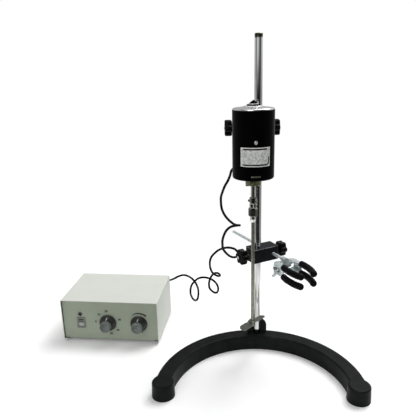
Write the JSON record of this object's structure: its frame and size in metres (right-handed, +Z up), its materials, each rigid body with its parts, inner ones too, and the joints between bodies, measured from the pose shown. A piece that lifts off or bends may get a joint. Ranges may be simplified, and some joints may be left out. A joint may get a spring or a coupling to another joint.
{
  "type": "overhead stirrer",
  "caption": "Bench overhead stirrer: a motor head with chuck and paddle on a horseshoe stand, a flask clamp, and a separate speed and timer box on a springy cord.",
  "frame": {"origin": "on the table plane, on the axis of the column", "axes": "+Z up along the column, +Y to the back, +X to the right as the user stands in front of it"},
  "size_m": [0.5689, 0.3703, 0.592],
  "materials": {
    "cast_black": "satin black enamel on iron",
    "column_steel": "ground and lightly stained",
    "dark_steel": "blackened screws",
    "block_black": "satin black",
    "knob_black": "moulded black plastic",
    "bright_steel": "bright",
    "motor_black": "gloss black",
    "bell_silver": "machined",
    "nameplate_silver": "satin, blank",
    "flange_olive": "tarnished",
    "core_steel": "laminated",
    "brush_brass": "plain",
    "chuck_steel": "worn",
    "rod_steel": "polished",
    "claw_zinc": "dull zinc",
    "sleeve_rubber": "matt black",
    "box_cream": "satin cream paint",
    "panel_grey": "satin grey-green paint",
    "foot_rubber": "matt black",
    "lamp_red": "unlit lens",
    "rocker_grey": "moulded frame",
    "rocker_pale": "pale button",
    "dial_grey": "dark skirt with a pale grey grip",
    "control_tan": "moulded body",
    "board_green": "circuit board",
    "fitting_black": "moulded black plastic",
    "cord_black": "satin black"
  },
  "bodies": {
    "stand": {"base_casting": "cast_black", "column": "column_steel", "column_screw": "dark_steel", "box_chassis": "panel_grey", "box_cover": "box_cream", "box_feet": "foot_rubber", "cover_screws": "bright_steel", "lamp_bezel": "bright_steel", "lamp_lens": "lamp_red", "rocker_frame": "rocker_grey", "timer_unit": "control_tan", "speed_pot": "control_tan", "circuit_board": "board_green", "fuse_holder": "fitting_black", "mains_inlet": "fitting_black", "box_gland": "fitting_black", "motor_cord": "cord_black"},
    "rocker": {"rocker_button": "rocker_pale"},
    "timer_dial": {"timer_knob": "dial_grey"},
    "speed_dial": {"speed_knob": "dial_grey"},
    "head": {"head_block": "block_black", "mounting_stub": "bright_steel", "motor_housing": "motor_black", "top_bell": "bell_silver", "top_disc": "motor_black", "top_washer": "bright_steel", "top_cone": "motor_black", "stator": "core_steel", "motor_bearings": "bright_steel", "brush_gear": "brush_brass", "nameplate": "nameplate_silver", "front_screw": "bright_steel", "output_flange": "flange_olive", "flange_screws": "dark_steel", "motor_gland": "fitting_black"},
    "stub_clamp": {"stub_knob": "knob_black", "stub_stud": "bright_steel"},
    "head_clamp": {"head_knob": "knob_black", "head_stud": "bright_steel"},
    "spindle": {"rotor": "core_steel", "chuck_collar": "chuck_steel", "chuck_body": "chuck_steel", "chuck_jaws": "chuck_steel", "stirring_rod": "rod_steel", "impeller": "rod_steel"},
    "nut": {"chuck_nut": "chuck_steel"},
    "flask_clamp": {"clamp_block": "block_black"},
    "rod_clamp": {"rod_knob": "knob_black", "rod_stud": "bright_steel"},
    "column_clamp": {"clamp_knob": "knob_black", "clamp_stud": "bright_steel"},
    "claw": {"claw_rod": "claw_zinc", "claw_bracket": "claw_zinc", "jaw_pins": "bright_steel"},
    "jaw_left": {"left_jaw": "claw_zinc", "left_sleeves": "sleeve_rubber"},
    "jaw_right": {"right_jaw": "claw_zinc", "right_sleeves": "sleeve_rubber"},
    "wing": {"wing_screw": "claw_zinc"}
  },
  "joints": [
    {"name": "head_lift", "type": "slide", "parent": "stand", "child": "head", "axis": [0, 0, 1], "range_m": [-0.04, 0.1], "deforming": ["motor_cord"]},
    {"name": "stub_knob_turn", "type": "hinge", "parent": "head", "child": "stub_clamp", "pos_m": [-0.05, 0, 0.4355], "axis": [-1, 0, 0], "range_deg": [0, 720]},
    {"name": "head_knob_turn", "type": "hinge", "parent": "head", "child": "head_clamp", "pos_m": [0.03, 0, 0.4355], "axis": [1, 0, 0], "range_deg": [0, 720]},
    {"name": "spindle_turn", "type": "hinge", "parent": "head", "child": "spindle", "pos_m": [-0.014, -0.058, 0.33], "axis": [0, 0, -1], "continuous": true},
    {"name": "chuck_nut_turn", "type": "hinge", "parent": "spindle", "child": "nut", "pos_m": [-0.014, -0.058, 0.298], "axis": [0, 0, 1], "range_deg": [0, 720]},
    {"name": "clamp_lift", "type": "slide", "parent": "stand", "child": "flask_clamp", "axis": [0, 0, 1], "range_m": [-0.08, 0.035]},
    {"name": "rod_knob_turn", "type": "hinge", "parent": "flask_clamp", "child": "rod_clamp", "pos_m": [0.04455, 0.0227, 0.1975], "axis": [0.891, 0.454, 0], "range_deg": [0, 720]},
    {"name": "clamp_knob_turn", "type": "hinge", "parent": "flask_clamp", "child": "column_clamp", "pos_m": [-0.02673, -0.01362, 0.1975], "axis": [-0.891, -0.454, 0], "range_deg": [0, 720]},
    {"name": "claw_turn", "type": "hinge", "parent": "flask_clamp", "child": "claw", "pos_m": [0.02317, 0.0118, 0.1975], "axis": [0.454, -0.891, 0], "range_deg": [-90, 90]},
    {"name": "right_jaw_turn", "type": "hinge", "parent": "claw", "child": "jaw_right", "pos_m": [0.05705, -0.03378, 0.1865], "axis": [0, 0, -1], "range_deg": [0, 5]},
    {"name": "left_jaw_turn", "type": "hinge", "parent": "claw", "child": "jaw_left", "pos_m": [0.04013, -0.04241, 0.1865], "axis": [0, 0, 1], "range_deg": [0, 5]},
    {"name": "wing_screw_turn", "type": "hinge", "parent": "claw", "child": "wing", "pos_m": [0.05313, -0.047, 0.1865], "axis": [0.891, 0.454, 0], "range_deg": [-360, 360]},
    {"name": "rocker_tilt", "type": "hinge", "parent": "stand", "child": "rocker", "pos_m": [-0.35643, 0.03567, 0.042], "axis": [0.9934, -0.1149, 0], "range_deg": [-14, 0]},
    {"name": "timer_turn", "type": "hinge", "parent": "stand", "child": "timer_dial", "pos_m": [-0.30113, 0.02202, 0.0435], "axis": [0.1149, 0.9934, 0], "range_deg": [0, 300]},
    {"name": "speed_turn", "type": "hinge", "parent": "stand", "child": "speed_dial", "pos_m": [-0.23706, 0.01461, 0.0435], "axis": [0.1149, 0.9934, 0], "range_deg": [0, 270]}
  ],
  "couplings": [
    {"joint": "left_jaw_turn", "follows": "right_jaw_turn", "ratio": 1}
  ]
}
